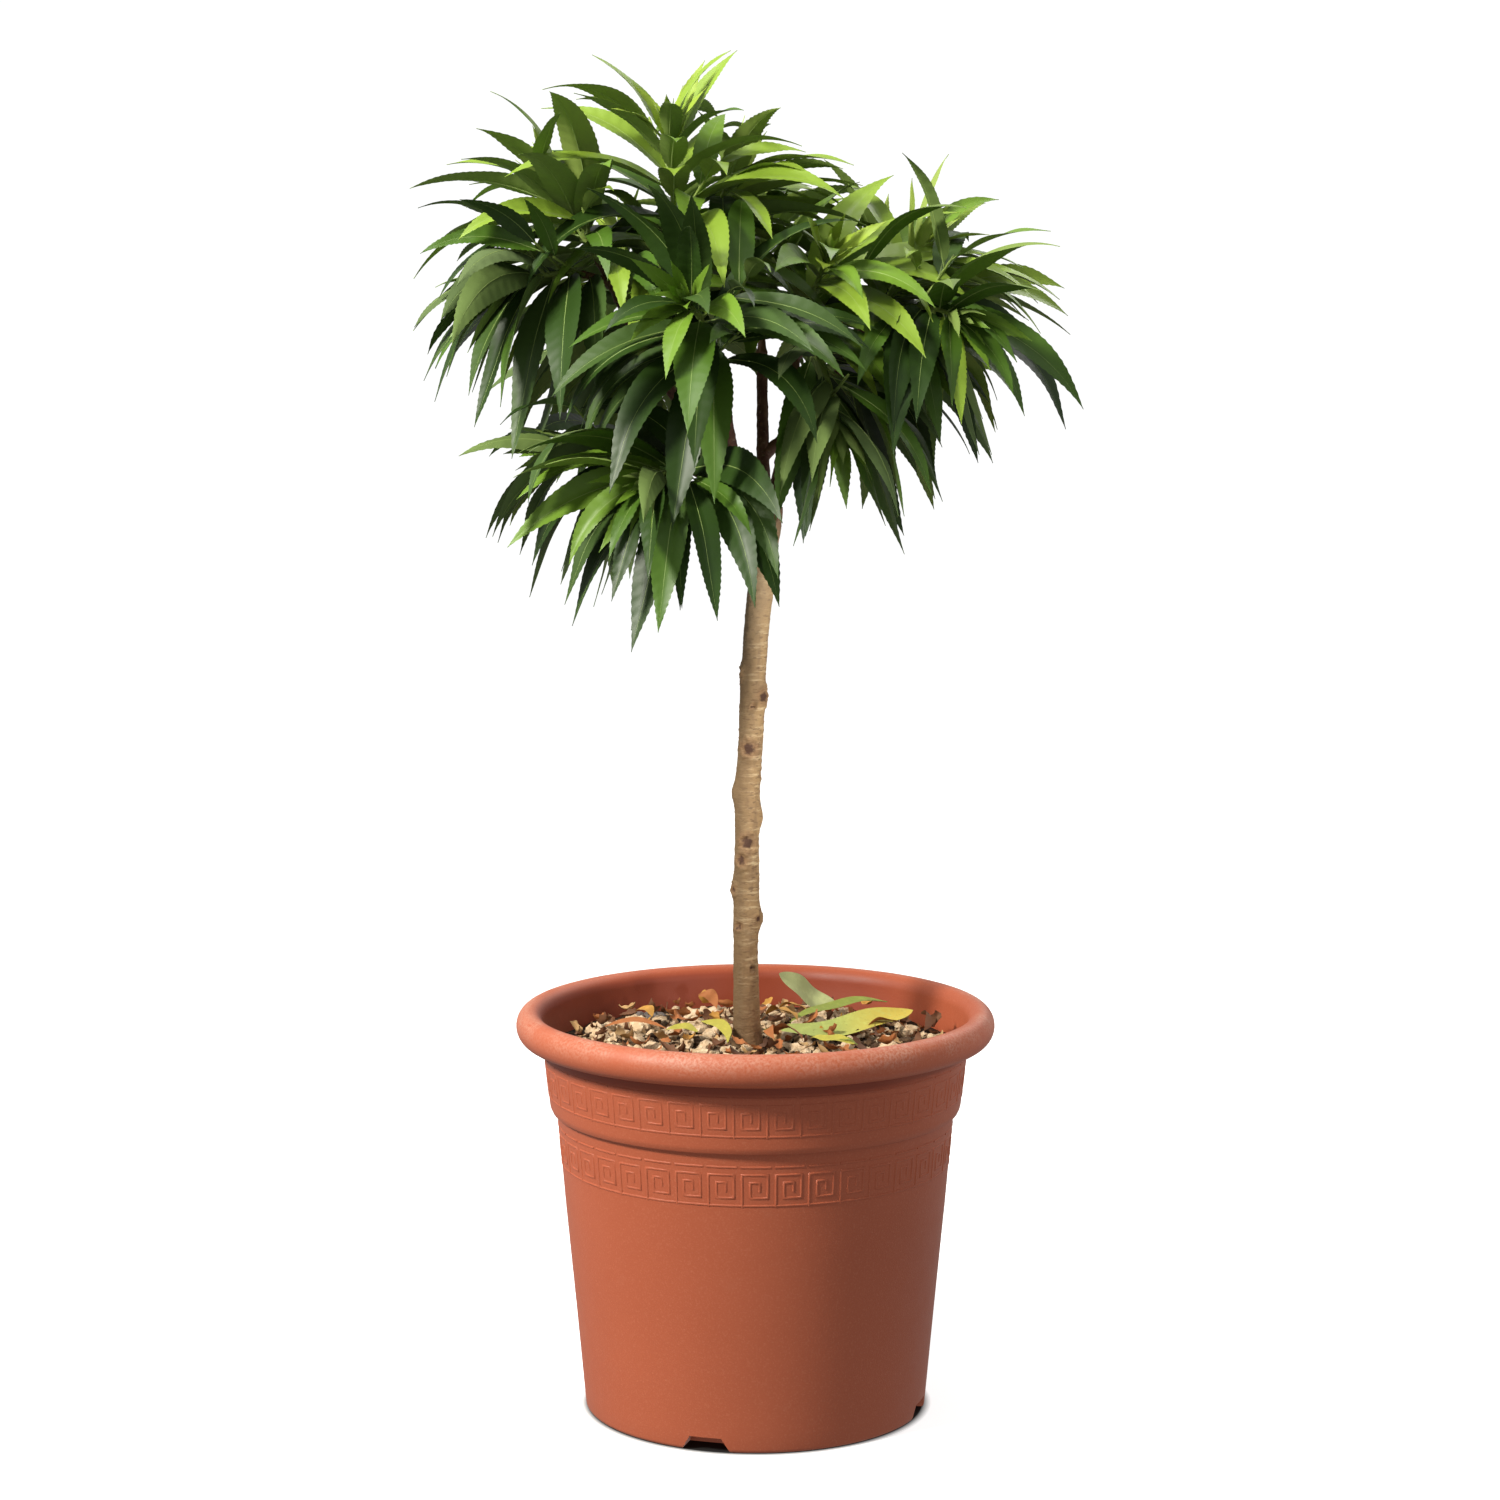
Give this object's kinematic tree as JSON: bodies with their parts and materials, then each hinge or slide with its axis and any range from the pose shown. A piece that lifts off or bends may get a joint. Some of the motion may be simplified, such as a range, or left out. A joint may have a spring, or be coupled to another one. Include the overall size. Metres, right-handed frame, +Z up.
{
  "type": "potted dwarf peach tree",
  "caption": "Small standard peach tree with a rounded crown of long hanging leaves, growing in a round terracotta-coloured plastic pot with a rolled rim and a key-pattern band.",
  "frame": {"origin": "middle of the pot's flat underside", "axes": "+Z up along the pot's axis; the front, the side that the picture shows, is towards -Y"},
  "size_m": [0.4067, 0.3774, 0.8457],
  "materials": {
    "pot_plastic": "terracotta orange-brown plastic with a fine matt grain and a soft sheen on the rim",
    "soil_mix": "brown planting mix with pale grit and dry leaf litter",
    "trunk_bark": "tan-brown bark with fine cross rings and small knots",
    "young_bark": "dark red-brown young bark",
    "leaf_green": "mid-green glossy leaves, paler beneath and yellow-green at the shoot tips"
  },
  "bodies": {
    "root": {"pot": "pot_plastic", "soil": "soil_mix", "trunk": "trunk_bark", "bough_right": "young_bark", "bough_left": "young_bark", "bough_low": "young_bark", "bough_back": "young_bark", "bough_left_out": "young_bark", "bough_front": "young_bark", "bough_right_out": "young_bark", "bough_back_left": "young_bark", "bough_back_right": "young_bark", "foliage_top": "leaf_green", "foliage_left": "leaf_green", "foliage_front": "leaf_green", "foliage_low": "leaf_green", "foliage_middle": "leaf_green", "foliage_right": "leaf_green", "foliage_back": "leaf_green", "foliage_back_left": "leaf_green", "foliage_back_right": "leaf_green"}
  },
  "joints": []
}
